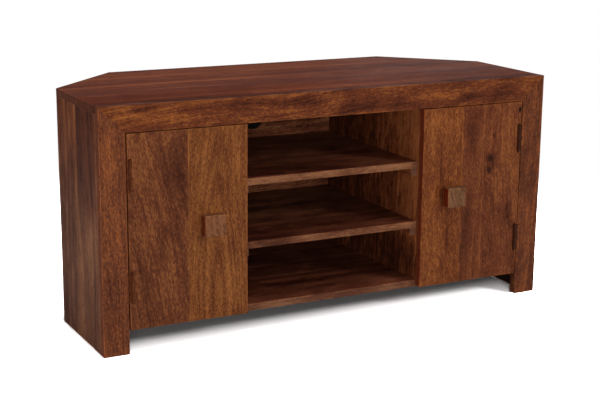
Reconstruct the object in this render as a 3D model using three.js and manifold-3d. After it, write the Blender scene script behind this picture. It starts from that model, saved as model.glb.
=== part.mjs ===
// Corner television cabinet in dark stained hardwood: a mitred face frame, a top with the rear
// corners cut off, three open bays in the middle and a plank door on two butt hinges at each side.
// Millimetres, +X to the right, +Y to the back, +Z up. Every board is worked out from the middle
// of the face frame's front, on the floor, and the whole is then moved to the middle of its depth.
import * as THREE from "three";
import { mergeVertices } from "three/addons/utils/BufferGeometryUtils.js";
import Module from "manifold-3d";

// Overall sizes
const cabinetWidth = 1200;
const cabinetHeight = 578;
const cabinetDepth = 505;
const shortSideDepth = 300;
const straightBackWidth = 794;

// Boards
const postWidth = 62;
const railHeight = 62;
const topThickness = 18;
const sideThickness = 20;
const cornerPanelThickness = 20;
const backThickness = 11;
const partitionThickness = 17.5;
const bottomThickness = 17;
const shelfThickness = 17;
const topPlankCount = 4;
const sidePlankCount = 2;

// Open bays
const openBayWidth = 482;
const floorGap = 54;
const shelfSetback = 2;
const shelfLevels = ["lower", "upper"];
const cleatWidth = 16;
const cleatHeight = 19;
const cleatFrontSetback = 6.5;
const cleatRearSetback = 20;
const bottomCleatSize = 20;
const bottomCleatSetback = 12;

// Doors
const doorThickness = 20;
const doorRearClearance = 1.5;
const doorTopGap = 2;
const doorBottomReveal = 3.5;
const doorOverhang = 0.5;
const battenHeight = 45;
const battenThickness = 16;
const battenFromDoorTop = 69;
const battenFromDoorBottom = 62;
const battenPartitionClearance = 14;
const battenOuterSetback = 28;
const battenEndRadius = 8;

// Where the seams between a door's planks and the knob's middle lie, from the inner edge to the outer
const doorSeamShares = { left: [0.504], right: [0.396, 0.613] };
const knobShare = 0.3073;

// Knobs and their screws
const knobWidth = 53;
const knobHeight = 50;
const knobProud = 22;
const knobFromDoorBottom = 229.5;
const knobScrewRadius = 2.2;
const knobScrewHeadRadius = 4.4;
const knobScrewHeadHeight = 2.8;
const knobScrewGrip = 13;
const knobScrewPoint = 1.2;
const screwClearance = 0.3;

// Butt hinges
const hingeLength = 66;
const hingeFromDoorTop = 94;
const hingeFromDoorBottom = 100.5;
const leafThickness = 1.2;
const leafGap = 0.3;
const leafSeat = 0.15;
const leafEdgeSetback = 1.5;
const leafCornerRadius = 3;
const barrelRadius = 4.2;
const barrelProud = 2;
const barrelInset = 6.5;
const barrelClearance = 0.3;
const knuckleCount = 5;
const knuckleGap = 0.3;
const pinRadius = 1.9;
const pinClearance = 0.1;
const finialRadius = 3.3;
const finialHeight = 4.5;
const leafScrewHoleRadius = 2;
const leafScrewHoleCount = 3;

// Magnetic catches
const catchLength = 46;
const catchBodyLength = 27;
const catchDepth = 15;
const catchHeight = 13;
const catchFlange = 2.5;
const catchSlotWidth = 3.6;
const catchSlotLength = 7;
const catchFromDoorTop = 26;
const strikeLength = 30;
const strikeWidth = 12;
const strikeThickness = 1;
const strikeHoleRadius = 1.8;
const strikeCornerRadius = 2;

// Cable grommet in the back panel, a little to the right of its middle
const grommetOffset = 5;
const grommetAboveShelf = 53;
const grommetHoleRadius = 28;
const grommetFlangeOverlap = 3;
const grommetFlangeThickness = 2.5;
const grommetFlangeRound = 0.8;
const grommetWall = 2;
const grommetTailSetback = 1;
const grommetLip = 2.2;
const grommetLipThickness = 2;
const grommetCapThickness = 3;
const cableSlotWidth = 18;
const cableSlotDepth = 14;

// Fits and edges
const glueSeam = 0.2;
const mitreGap = 0.2;
const frameArris = 0.6;
const arris = 0.9;
const plankArris = 0.5;
const shelfArris = 1.4;
const smallArris = 0.6;
const knobArris = 2.4;
const arrisSteps = 2;
const knobArrisSteps = 3;
const roundSteps = 8;
const holeSteps = 4;
const latheSteps = 16;
const cutOverrun = 2;

// Finishes
const finishes = {
  frame: { color: 0x7b4227, roughness: 0.42, metalness: 0 },
  top: { color: 0x74382a, roughness: 0.36, metalness: 0 },
  side: { color: 0x5f3627, roughness: 0.45, metalness: 0 },
  inside: { color: 0x4e2818, roughness: 0.6, metalness: 0 },
  shelf: { color: 0x5c301c, roughness: 0.45, metalness: 0 },
  door: { color: 0x743c24, roughness: 0.42, metalness: 0 },
  knob: { color: 0x7c4530, roughness: 0.38, metalness: 0 },
  bronze: { color: 0x2f2119, roughness: 0.45, metalness: 0.85 },
  steel: { color: 0xb9b9b6, roughness: 0.35, metalness: 0.95 },
  plastic: { color: 0x161513, roughness: 0.5, metalness: 0 },
  catch: { color: 0x4a3225, roughness: 0.55, metalness: 0 },
};

// Places that follow from the sizes
const halfWidth = cabinetWidth / 2;
const frameThickness = doorThickness + doorRearClearance;
const postInner = halfWidth - postWidth;
const railUnderside = cabinetHeight - railHeight;
const topUnderside = cabinetHeight - topThickness;
const carcassFront = frameThickness + glueSeam;
const backInner = cabinetDepth - backThickness;
const bayFloor = floorGap + bottomThickness;
const bayHalfWidth = openBayWidth / 2;
const partitionOuter = bayHalfWidth + partitionThickness;
const bayCount = shelfLevels.length + 1;
const bayHeight = (railUnderside - bayFloor - shelfLevels.length * shelfThickness) / bayCount;
const grommetHeight = railUnderside - bayHeight + grommetAboveShelf;
const doorSideGap = 2 * (leafThickness + leafSeat) + leafGap;
const doorOuter = postInner - doorSideGap;
const doorInner = bayHalfWidth - doorOverhang;
const doorWidth = doorOuter - doorInner;
const doorTop = railUnderside - doorTopGap;
const doorBottom = floorGap + doorBottomReveal;
const hingeAxisX = doorOuter - barrelInset;
const hingeAxisY = -barrelProud;

const cabinet = new THREE.Group();
cabinet.name = "corner_tv_cabinet";
cabinet.position.y = (knobProud + glueSeam - cabinetDepth) / 2;

const sides = [
  { name: "left", sign: -1 },
  { name: "right", sign: 1 },
];

// Adds a named mesh with a material of its own, at a place given in the cabinet's axes
function add(group, name, geometry, finish, x = 0, y = 0, z = 0) {
  const mesh = new THREE.Mesh(geometry, new THREE.MeshStandardMaterial(finishes[finish]));
  mesh.name = name;
  mesh.position.set(x, y, z).sub(group.position);
  group.add(mesh);
}

// Solids for cutting and joining
const wasm = await Module();
wasm.setup();

function toSolid(geometry) {
  const bare = geometry.clone();
  bare.deleteAttribute("normal");
  bare.deleteAttribute("uv");
  const welded = mergeVertices(bare);
  const corners = [];
  const index = welded.index.array;
  for (let i = 0; i < index.length; i += 3) {
    const [a, b, c] = index.slice(i, i + 3);
    if (a !== b && b !== c && c !== a) {
      corners.push(a, b, c);
    }
  }
  return new wasm.Manifold(new wasm.Mesh({
    numProp: 3,
    vertProperties: new Float32Array(welded.attributes.position.array),
    triVerts: new Uint32Array(corners),
  }));
}

function toGeometry(solid) {
  const mesh = solid.getMesh();
  const geometry = new THREE.BufferGeometry();
  geometry.setAttribute("position", new THREE.BufferAttribute(mesh.vertProperties, 3));
  geometry.setIndex(new THREE.BufferAttribute(mesh.triVerts, 1));
  geometry.computeVertexNormals();
  return geometry;
}

function cut(geometry, tools) {
  return toGeometry(tools.reduce((solid, tool) => solid.subtract(toSolid(tool)), toSolid(geometry)));
}

function join(geometries) {
  return toGeometry(geometries.map(toSolid).reduce((whole, piece) => whole.add(piece)));
}

// Outlines
function shapeOf(points) {
  return new THREE.Shape(points.map(([u, v]) => new THREE.Vector2(u, v)));
}

function rectangle(u0, u1, v0, v1) {
  return [[u0, v0], [u1, v0], [u1, v1], [u0, v1]];
}

function roundedRectangle(u0, u1, v0, v1, radius) {
  const shape = new THREE.Shape();
  shape.absarc(u1 - radius, v0 + radius, radius, -Math.PI / 2, 0);
  shape.absarc(u1 - radius, v1 - radius, radius, 0, Math.PI / 2);
  shape.absarc(u0 + radius, v1 - radius, radius, Math.PI / 2, Math.PI);
  shape.absarc(u0 + radius, v0 + radius, radius, Math.PI, 1.5 * Math.PI);
  return shape;
}

function circlePath(u, v, radius) {
  return new THREE.Path().absarc(u, v, radius, 0, 2 * Math.PI, true);
}

// A board with eased arrises, its outline flat and its thickness upwards from zero
function easedBoard(shape, thickness, ease, steps = arrisSteps) {
  const geometry = new THREE.ExtrudeGeometry(shape, {
    depth: thickness - 2 * ease,
    bevelThickness: ease,
    bevelSize: ease,
    bevelOffset: -ease,
    bevelSegments: steps,
    curveSegments: holeSteps,
  });
  return geometry.translate(0, 0, ease);
}

// A plain plate, its outline flat and its thickness upwards from zero
function plate(shape, thickness, steps = holeSteps) {
  return new THREE.ExtrudeGeometry(shape, { depth: thickness, bevelEnabled: false, curveSegments: steps });
}

const alongX = new THREE.Vector3(1, 0, 0);
const alongY = new THREE.Vector3(0, 1, 0);
const alongZ = new THREE.Vector3(0, 0, 1);
const faceForwards = new THREE.Matrix4().makeBasis(alongX, alongZ, alongY.clone().negate());
const faceSideways = new THREE.Matrix4().makeBasis(alongY, alongZ, alongX);

// Turns a board so that its outline is seen from the front and its thickness runs back from zero
function frontFacing(geometry, thickness) {
  return geometry.applyMatrix4(faceForwards).translate(0, thickness, 0);
}

// Turns a board so that its outline is seen from the side and its thickness runs right from zero
function sideFacing(geometry) {
  return geometry.applyMatrix4(faceSideways);
}

// A piece that runs through a thickness and starts at a face of the given side stays outside it
function startOf(face, thickness, sign) {
  return sign > 0 ? face : -face - thickness;
}

function rodAlongY(radius, y0, y1, x, z, steps = roundSteps) {
  const rod = new THREE.CylinderGeometry(radius, radius, y1 - y0, 2 * steps);
  return rod.translate(x, (y0 + y1) / 2, z);
}

function rodAlongZ(radius, length, x, y, z) {
  const rod = new THREE.CylinderGeometry(radius, radius, length, 2 * roundSteps);
  return rod.rotateX(Math.PI / 2).translate(x, y, z);
}

// Plan of the cabinet: straight short sides, then corners cut off back to the straight back
const cornerRun = (cabinetWidth - straightBackWidth) / 2;
const cornerRise = cabinetDepth - shortSideDepth;
const cornerLength = Math.hypot(cornerRun, cornerRise);

function slantedHalfWidth(depth, inset) {
  return halfWidth - ((depth - shortSideDepth) * cornerRun + inset * cornerLength) / cornerRise;
}

function planHalfWidth(depth, sideInset, cornerInset) {
  return Math.min(halfWidth - sideInset, slantedHalfWidth(depth, cornerInset));
}

// The part of the plan between two depths, drawn in by its side and corner insets
function planStrip(front, rear, sideInset, cornerInset) {
  const corner = shortSideDepth + (sideInset * cornerRise - cornerInset * cornerLength) / cornerRun;
  const depths = corner > front && corner < rear ? [front, corner, rear] : [front, rear];
  const right = depths.map((depth) => [planHalfWidth(depth, sideInset, cornerInset), depth]);
  const left = right.map(([x, y]) => [-x, y]).reverse();
  return [...right, ...left];
}

// Face frame: two posts that reach the floor as feet and a rail, mitred at both top corners
const faceFrame = new THREE.Group();
cabinet.add(faceFrame);
const mitreStep = mitreGap * Math.SQRT1_2;

const railOutline = [
  [mitreStep - halfWidth, cabinetHeight],
  [mitreStep - postInner, railUnderside],
  [postInner - mitreStep, railUnderside],
  [halfWidth - mitreStep, cabinetHeight],
];
const rail = easedBoard(shapeOf(railOutline), frameThickness, frameArris);
add(faceFrame, "face_rail", frontFacing(rail, frameThickness), "frame");

for (const { name, sign } of sides) {
  const outline = [
    [sign * postInner, 0],
    [sign * halfWidth, 0],
    [sign * halfWidth, cabinetHeight - mitreStep],
    [sign * postInner, railUnderside - mitreStep],
  ];
  const post = easedBoard(shapeOf(outline), frameThickness, frameArris);
  add(faceFrame, `face_post_${name}`, frontFacing(post, frameThickness), "frame");
}

// Top: planks side by side behind the rail, nailed down on the carcass, flush with it all round
const top = new THREE.Group();
cabinet.add(top);
const topPlankPitch = (cabinetDepth - carcassFront + glueSeam) / topPlankCount;

for (let i = 0; i < topPlankCount; i += 1) {
  const front = carcassFront + i * topPlankPitch;
  const outline = planStrip(front, front + topPlankPitch - glueSeam, 0, 0);
  const plank = easedBoard(shapeOf(outline), topThickness, plankArris);
  add(top, `top_plank_${i + 1}`, plank, "top", 0, 0, topUnderside);
}

// Carcass: short sides of upright planks, slanted corner panels, back, partitions and bottom
const carcass = new THREE.Group();
cabinet.add(carcass);
const wallHeight = topUnderside - glueSeam;
const sidePlankPitch = (shortSideDepth - carcassFront + glueSeam) / sidePlankCount;

for (const { name, sign } of sides) {
  for (let i = 0; i < sidePlankCount; i += 1) {
    const front = carcassFront + i * sidePlankPitch;
    const outline = rectangle(front, front + sidePlankPitch - glueSeam, 0, wallHeight);
    const plank = sideFacing(easedBoard(shapeOf(outline), sideThickness, plankArris));
    const x = startOf(halfWidth - sideThickness, sideThickness, sign);
    add(carcass, `side_plank_${name}_${i + 1}`, plank, "side", x);
  }

  const panelFront = shortSideDepth + glueSeam;
  const panelOutline = [
    [slantedHalfWidth(panelFront, 0), panelFront],
    [slantedHalfWidth(cabinetDepth, 0), cabinetDepth],
    [slantedHalfWidth(cabinetDepth, cornerPanelThickness), cabinetDepth],
    [slantedHalfWidth(panelFront, cornerPanelThickness), panelFront],
  ].map(([x, y]) => [sign * x, y]);
  add(carcass, `corner_panel_${name}`, easedBoard(shapeOf(panelOutline), wallHeight, plankArris), "side");

  const partitionFloor = bayFloor + glueSeam;
  const partitionOutline = rectangle(carcassFront, backInner - glueSeam, partitionFloor, wallHeight);
  const partition = sideFacing(easedBoard(shapeOf(partitionOutline), partitionThickness, arris));
  const partitionX = startOf(bayHalfWidth, partitionThickness, sign);
  add(carcass, `partition_${name}`, partition, "inside", partitionX);

  const cleatTop = floorGap - glueSeam;
  const cleatOutline = rectangle(
    carcassFront + bottomCleatSetback,
    shortSideDepth - bottomCleatSetback,
    cleatTop - bottomCleatSize,
    cleatTop,
  );
  const cleat = sideFacing(easedBoard(shapeOf(cleatOutline), bottomCleatSize, smallArris));
  const cleatX = startOf(halfWidth - sideThickness - glueSeam - bottomCleatSize, bottomCleatSize, sign);
  add(carcass, `bottom_cleat_${name}`, cleat, "inside", cleatX);
}

const bottomOutline = planStrip(
  carcassFront,
  backInner - glueSeam,
  sideThickness + glueSeam,
  cornerPanelThickness + glueSeam,
);
const bottomBoard = easedBoard(shapeOf(bottomOutline), bottomThickness, arris);
add(carcass, "bottom_board", bottomBoard, "shelf", 0, 0, floorGap);

const backOutline = [
  [slantedHalfWidth(backInner, cornerPanelThickness + glueSeam), backInner],
  [slantedHalfWidth(cabinetDepth, cornerPanelThickness + glueSeam), cabinetDepth],
].flatMap(([x, y]) => [[x, y], [-x, y]]);
const [nearRight, nearLeft, farRight, farLeft] = backOutline;
const backBoard = easedBoard(
  shapeOf([nearRight, farRight, farLeft, nearLeft]),
  wallHeight - floorGap,
  smallArris,
);
const cableHole = rodAlongY(
  grommetHoleRadius,
  backInner - cutOverrun,
  cabinetDepth + cutOverrun,
  grommetOffset,
  grommetHeight - floorGap,
  latheSteps,
);
add(carcass, "back_panel", cut(backBoard, [cableHole]), "inside", 0, 0, floorGap);

// Open bays: two shelves, each on a cleat at either end
const bays = new THREE.Group();
cabinet.add(bays);

shelfLevels.forEach((level, i) => {
  const underside = bayFloor + (i + 1) * bayHeight + i * shelfThickness;
  const shelfHalf = bayHalfWidth - glueSeam;
  const shelfOutline = rectangle(-shelfHalf, shelfHalf, carcassFront + shelfSetback, backInner - glueSeam);
  const shelf = easedBoard(shapeOf(shelfOutline), shelfThickness, shelfArris);
  add(bays, `shelf_${level}`, shelf, "shelf", 0, 0, underside);

  for (const { name, sign } of sides) {
    const cleatTop = underside - glueSeam;
    const outline = rectangle(
      carcassFront + cleatFrontSetback,
      backInner - cleatRearSetback,
      cleatTop - cleatHeight,
      cleatTop,
    );
    const cleat = sideFacing(easedBoard(shapeOf(outline), cleatWidth, smallArris));
    const x = startOf(bayHalfWidth - glueSeam - cleatWidth, cleatWidth, sign);
    add(bays, `shelf_cleat_${level}_${name}`, cleat, "inside", x);
  }
});

// Cable grommet: a flanged liner through the back panel and a cap with a slot for the cables
const grommet = new THREE.Group();
grommet.position.set(grommetOffset, backInner, grommetHeight);
cabinet.add(grommet);

const flangeRadius = grommetHoleRadius + grommetFlangeOverlap;
const linerRadius = grommetHoleRadius - glueSeam;
const boreRadius = linerRadius - grommetWall;
const flangeFront = -glueSeam - grommetFlangeThickness;
const linerTail = backThickness - grommetTailSetback;
const lipFront = flangeFront + grommetCapThickness + glueSeam;
const linerProfile = [
  [boreRadius, linerTail],
  [boreRadius, lipFront + grommetLipThickness],
  [boreRadius - grommetLip, lipFront + grommetLipThickness],
  [boreRadius - grommetLip, lipFront],
  [boreRadius, lipFront],
  [boreRadius, flangeFront],
  [flangeRadius - grommetFlangeRound, flangeFront],
  [flangeRadius, flangeFront + grommetFlangeRound],
  [flangeRadius, -glueSeam],
  [linerRadius, -glueSeam],
  [linerRadius, linerTail],
  [boreRadius, linerTail],
].map(([radius, depth]) => new THREE.Vector2(radius, depth));
const liner = new THREE.LatheGeometry(linerProfile, 2 * latheSteps);
add(grommet, "cable_grommet_liner", liner, "plastic", grommetOffset, backInner, grommetHeight);

const capRadius = boreRadius - glueSeam;
const capSlot = Math.asin(cableSlotWidth / 2 / capRadius);
const capShape = new THREE.Shape();
capShape.absarc(0, 0, capRadius, Math.PI / 2 + capSlot, 2.5 * Math.PI - capSlot);
const slotFloor = capRadius - cableSlotDepth;
capShape.absarc(0, slotFloor + cableSlotWidth / 2, cableSlotWidth / 2, 0, -Math.PI, true);
const cap = frontFacing(plate(capShape, grommetCapThickness, latheSteps), grommetCapThickness);
const capFront = flangeFront + backInner;
add(grommet, "cable_grommet_cap", cap, "plastic", grommetOffset, capFront, grommetHeight);

// Butt hinge: knuckles round the pin, and the leaf that runs from them through the gap
const knuckleLength = (hingeLength - (knuckleCount - 1) * knuckleGap) / knuckleCount;
const leafStart = barrelRadius + barrelClearance;
const leafDepth = barrelProud + frameThickness - leafEdgeSetback - doorRearClearance - leafStart;

function knuckleStart(index) {
  return index * (knuckleLength + knuckleGap) - hingeLength / 2;
}

function hingeLeaf(sign, firstKnuckle, legNear) {
  const legFar = legNear + leafThickness;
  const boneHalf = leafThickness / 2;
  const armStart = barrelRadius - leafThickness;
  const legOutline = [
    [armStart, -boneHalf],
    [legFar, -boneHalf],
    [legFar, leafStart + boneHalf],
    [legNear, leafStart + boneHalf],
    [legNear, boneHalf],
    [armStart, boneHalf],
  ].map(([x, y]) => [sign * x, y]);
  const pieces = [];
  for (let i = firstKnuckle; i < knuckleCount; i += 2) {
    const ring = new THREE.Shape().absarc(0, 0, barrelRadius, 0, 2 * Math.PI);
    ring.holes.push(circlePath(0, 0, pinRadius + pinClearance));
    pieces.push(plate(ring, knuckleLength, roundSteps).translate(0, 0, knuckleStart(i)));
    pieces.push(plate(shapeOf(legOutline), knuckleLength).translate(0, 0, knuckleStart(i)));
  }
  const halfLength = hingeLength / 2;
  const leafShape = roundedRectangle(0, leafDepth, -halfLength, halfLength, leafCornerRadius);
  for (let i = 0; i < leafScrewHoleCount; i += 1) {
    const height = hingeLength * ((i + 0.5) / leafScrewHoleCount) - halfLength;
    leafShape.holes.push(circlePath(leafDepth / 2, height, leafScrewHoleRadius));
  }
  const leaf = sideFacing(plate(leafShape, leafThickness));
  pieces.push(leaf.translate(startOf(legNear, leafThickness, sign), leafStart, 0));
  return join(pieces);
}

// Hinge pin with a small turned finial at either end
const finialRadiusShares = [0, 0.4, 0.6, 0.5, 0.42, 1, 1];
const finialHeightShares = [1, 0.92, 0.7, 0.5, 0.42, 0.3, 0];

function hingePin() {
  const shoulder = hingeLength / 2 + knuckleGap;
  const upper = finialRadiusShares.map((share, i) => (
    new THREE.Vector2(share * finialRadius, shoulder + finialHeightShares[i] * finialHeight)
  ));
  upper.push(new THREE.Vector2(pinRadius, shoulder));
  const lower = upper.map(({ x, y }) => new THREE.Vector2(x, -y));
  return new THREE.LatheGeometry([...lower, ...upper.reverse()], 2 * roundSteps).rotateX(Math.PI / 2);
}

// Doors: planks edge to edge, two battens behind them, knob, magnetic strike and hinges
const screwHoleRadius = knobScrewRadius + screwClearance;
const knobX = doorInner + knobShare * doorWidth;
const knobZ = doorBottom + knobFromDoorBottom;
const doorRear = doorThickness + glueSeam;
const hingeHeights = {
  upper: doorTop - hingeFromDoorTop,
  lower: doorBottom + hingeFromDoorBottom,
};
const grooveLength = hingeLength + 2 * (knuckleGap + finialHeight + barrelClearance);
const grooveRadius = barrelRadius + barrelClearance;
const catchZ = doorTop - catchFromDoorTop;

function doorTools(sign) {
  const screwHole = rodAlongY(screwHoleRadius, -cutOverrun, doorThickness + cutOverrun, sign * knobX, knobZ);
  const grooves = Object.values(hingeHeights).map((height) => (
    rodAlongZ(grooveRadius, grooveLength, sign * hingeAxisX, hingeAxisY, height)
  ));
  return [screwHole, ...grooves];
}

function addDoorPlanks(door, name, sign) {
  const seams = [0, ...doorSeamShares[name], 1].map((share) => doorInner + share * doorWidth);
  for (let i = 0; i + 1 < seams.length; i += 1) {
    const inner = seams[i] + (i > 0 ? glueSeam / 2 : 0);
    const outer = seams[i + 1] - (i + 2 < seams.length ? glueSeam / 2 : 0);
    const outline = rectangle(sign * inner, sign * outer, doorBottom, doorTop);
    const plank = frontFacing(easedBoard(shapeOf(outline), doorThickness, plankArris), doorThickness);
    add(door, `door_plank_${name}_${i + 1}`, cut(plank, doorTools(sign)), "door");
  }
}

function addDoorBattens(door, name, sign) {
  const inner = partitionOuter + battenPartitionClearance;
  const outer = doorOuter - battenOuterSetback;
  const ends = [sign * inner, sign * outer].sort((a, b) => a - b);
  const heights = {
    upper: doorTop - battenFromDoorTop - battenHeight,
    lower: doorBottom + battenFromDoorBottom,
  };
  for (const [level, z] of Object.entries(heights)) {
    const shape = roundedRectangle(ends[0], ends[1], 0, battenHeight, battenEndRadius);
    const batten = frontFacing(easedBoard(shape, battenThickness, smallArris), battenThickness);
    add(door, `door_batten_${name}_${level}`, batten, "inside", 0, doorRear, z);
  }
}

// Knob: a square block with soft arrises, held from behind by a round headed screw
function addKnob(door, name, sign) {
  const half = knobWidth / 2;
  const shape = shapeOf(rectangle(-half, half, -knobHeight / 2, knobHeight / 2));
  const block = frontFacing(easedBoard(shape, knobProud, knobArris, knobArrisSteps), knobProud);
  const boreFloor = knobProud - knobScrewGrip - screwClearance;
  const bore = rodAlongY(screwHoleRadius, boreFloor, knobProud + cutOverrun, 0, 0);
  const x = sign * knobX;
  add(door, `knob_${name}`, cut(block, [bore]), "knob", x, -knobProud - glueSeam, knobZ);

  const headTop = doorRear + knobScrewHeadHeight;
  const tip = -glueSeam - knobScrewGrip;
  const profile = [
    [0, tip],
    [knobScrewRadius - knobScrewPoint, tip],
    [knobScrewRadius, tip + knobScrewPoint],
    [knobScrewRadius, doorRear],
    [knobScrewHeadRadius, doorRear],
    [knobScrewHeadRadius, headTop - knobScrewPoint],
    [knobScrewHeadRadius - knobScrewPoint, headTop],
    [0, headTop],
  ].map(([radius, depth]) => new THREE.Vector2(radius, depth));
  add(door, `knob_screw_${name}`, new THREE.LatheGeometry(profile, latheSteps), "steel", x, 0, knobZ);
}

function addHinges(door, name, sign) {
  for (const [level, z] of Object.entries(hingeHeights)) {
    const doorLeg = barrelInset + leafSeat;
    const postLeg = doorLeg + leafThickness + leafGap;
    const x = sign * hingeAxisX;
    add(door, `hinge_leaf_door_${name}_${level}`, hingeLeaf(sign, 1, doorLeg), "bronze", x, hingeAxisY, z);
    add(faceFrame, `hinge_leaf_post_${name}_${level}`, hingeLeaf(sign, 0, postLeg), "bronze", x, hingeAxisY, z);
    add(faceFrame, `hinge_pin_${name}_${level}`, hingePin(), "bronze", x, hingeAxisY, z);
  }
}

// Magnetic catch: a case with two slotted ears on the partition, a steel strike on the door
function addCatch(door, name, sign) {
  const ears = roundedRectangle(0, catchDepth, -catchLength / 2, catchLength / 2, strikeCornerRadius);
  const earMiddle = (catchLength + catchBodyLength) / 4;
  for (const z of [-earMiddle, earMiddle]) {
    const slot = new THREE.Path();
    const reach = (catchSlotLength - catchSlotWidth) / 2;
    slot.absarc(catchDepth / 2 + reach, z, catchSlotWidth / 2, -Math.PI / 2, Math.PI / 2);
    slot.absarc(catchDepth / 2 - reach, z, catchSlotWidth / 2, Math.PI / 2, 1.5 * Math.PI);
    ears.holes.push(slot);
  }
  const flange = sideFacing(plate(ears, catchFlange));
  const bodyHalf = catchBodyLength / 2;
  const bodyShape = shapeOf(rectangle(0, catchDepth, -bodyHalf, bodyHalf));
  const body = sideFacing(easedBoard(bodyShape, catchHeight, smallArris));
  const flangeX = startOf(0, catchFlange, sign);
  const bodyX = startOf(0, catchHeight, sign);
  const geometry = join([flange.translate(flangeX, 0, 0), body.translate(bodyX, 0, 0)]);
  const catchX = sign * (partitionOuter + glueSeam);
  add(carcass, `magnetic_catch_${name}`, geometry, "catch", catchX, frameThickness, catchZ);

  const strikeHalf = strikeWidth / 2;
  const strikeShape = roundedRectangle(
    -strikeHalf,
    strikeHalf,
    -strikeLength / 2,
    strikeLength / 2,
    strikeCornerRadius,
  );
  strikeShape.holes.push(circlePath(0, 0, strikeHoleRadius));
  const strike = frontFacing(plate(strikeShape, strikeThickness), strikeThickness);
  const strikeX = sign * (partitionOuter + catchHeight / 2);
  add(door, `magnetic_strike_${name}`, strike, "steel", strikeX, doorRear, catchZ);
}

// Each door's group has its origin on the hinge axis, so turning the group about Z opens the door
for (const { name, sign } of sides) {
  const door = new THREE.Group();
  door.name = `door_${name}`;
  door.position.set(sign * hingeAxisX, hingeAxisY, 0);
  cabinet.add(door);
  addDoorPlanks(door, name, sign);
  addDoorBattens(door, name, sign);
  addKnob(door, name, sign);
  addHinges(door, name, sign);
  addCatch(door, name, sign);
}

export default cabinet;
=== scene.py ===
"""Corner television cabinet in dark stained hardwood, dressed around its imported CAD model.
The boards keep their CAD shapes and get a grain of their own. The hardware is made anew, smooth."""
import math

import bmesh
import bpy
import numpy as np
from mathutils import Matrix, Vector


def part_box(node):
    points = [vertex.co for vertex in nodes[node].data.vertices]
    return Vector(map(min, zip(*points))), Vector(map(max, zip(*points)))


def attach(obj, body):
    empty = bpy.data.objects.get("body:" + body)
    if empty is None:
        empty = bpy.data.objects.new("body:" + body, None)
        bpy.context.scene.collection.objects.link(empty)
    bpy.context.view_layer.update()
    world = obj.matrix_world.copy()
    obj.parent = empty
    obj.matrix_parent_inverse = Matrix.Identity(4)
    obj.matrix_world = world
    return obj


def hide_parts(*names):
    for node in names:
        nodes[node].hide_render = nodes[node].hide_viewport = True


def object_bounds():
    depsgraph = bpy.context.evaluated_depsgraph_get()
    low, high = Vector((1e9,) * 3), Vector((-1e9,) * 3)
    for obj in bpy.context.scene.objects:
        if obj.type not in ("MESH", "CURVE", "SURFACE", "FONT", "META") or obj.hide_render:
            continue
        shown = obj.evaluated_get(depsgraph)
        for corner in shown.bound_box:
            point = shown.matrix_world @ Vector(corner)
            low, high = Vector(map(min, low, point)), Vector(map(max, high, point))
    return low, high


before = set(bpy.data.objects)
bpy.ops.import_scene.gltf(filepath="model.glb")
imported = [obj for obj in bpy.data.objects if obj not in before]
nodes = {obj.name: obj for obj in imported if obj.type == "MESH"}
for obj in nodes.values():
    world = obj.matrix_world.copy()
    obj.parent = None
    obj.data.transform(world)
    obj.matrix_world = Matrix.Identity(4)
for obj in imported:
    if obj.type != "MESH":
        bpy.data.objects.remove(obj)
cad_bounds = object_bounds()

# Camera: at the photograph's viewpoint, in front of the cabinet, to its left and above its top.
# The angles are its turn to the right, its tilt down and its roll, and the lens is for a 36 mm sensor.
camera_place = Vector((-1.5381, -3.0230, 1.0665))
camera_turn = math.radians(27.296)
camera_tilt = math.radians(13.707)
camera_roll = math.radians(0.468)
view_line = Vector((
    math.sin(camera_turn) * math.cos(camera_tilt),
    math.cos(camera_turn) * math.cos(camera_tilt),
    -math.sin(camera_tilt),
))
level_right = Vector((math.cos(camera_turn), -math.sin(camera_turn), 0.0))
level_up = level_right.cross(view_line)
camera_right = math.cos(camera_roll) * level_right + math.sin(camera_roll) * level_up
camera_up = math.cos(camera_roll) * level_up - math.sin(camera_roll) * level_right
camera_data = bpy.data.cameras.new("camera")
camera_data.sensor_width = 36.0
camera_data.lens = 81.036
camera = bpy.data.objects.new("camera", camera_data)
turned_axes = Matrix((camera_right, camera_up, -view_line)).transposed().to_4x4()
camera.matrix_world = Matrix.Translation(camera_place) @ turned_axes
bpy.context.scene.collection.objects.link(camera)
bpy.context.scene.camera = camera
bpy.context.scene.view_settings.view_transform = "Standard"


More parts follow.
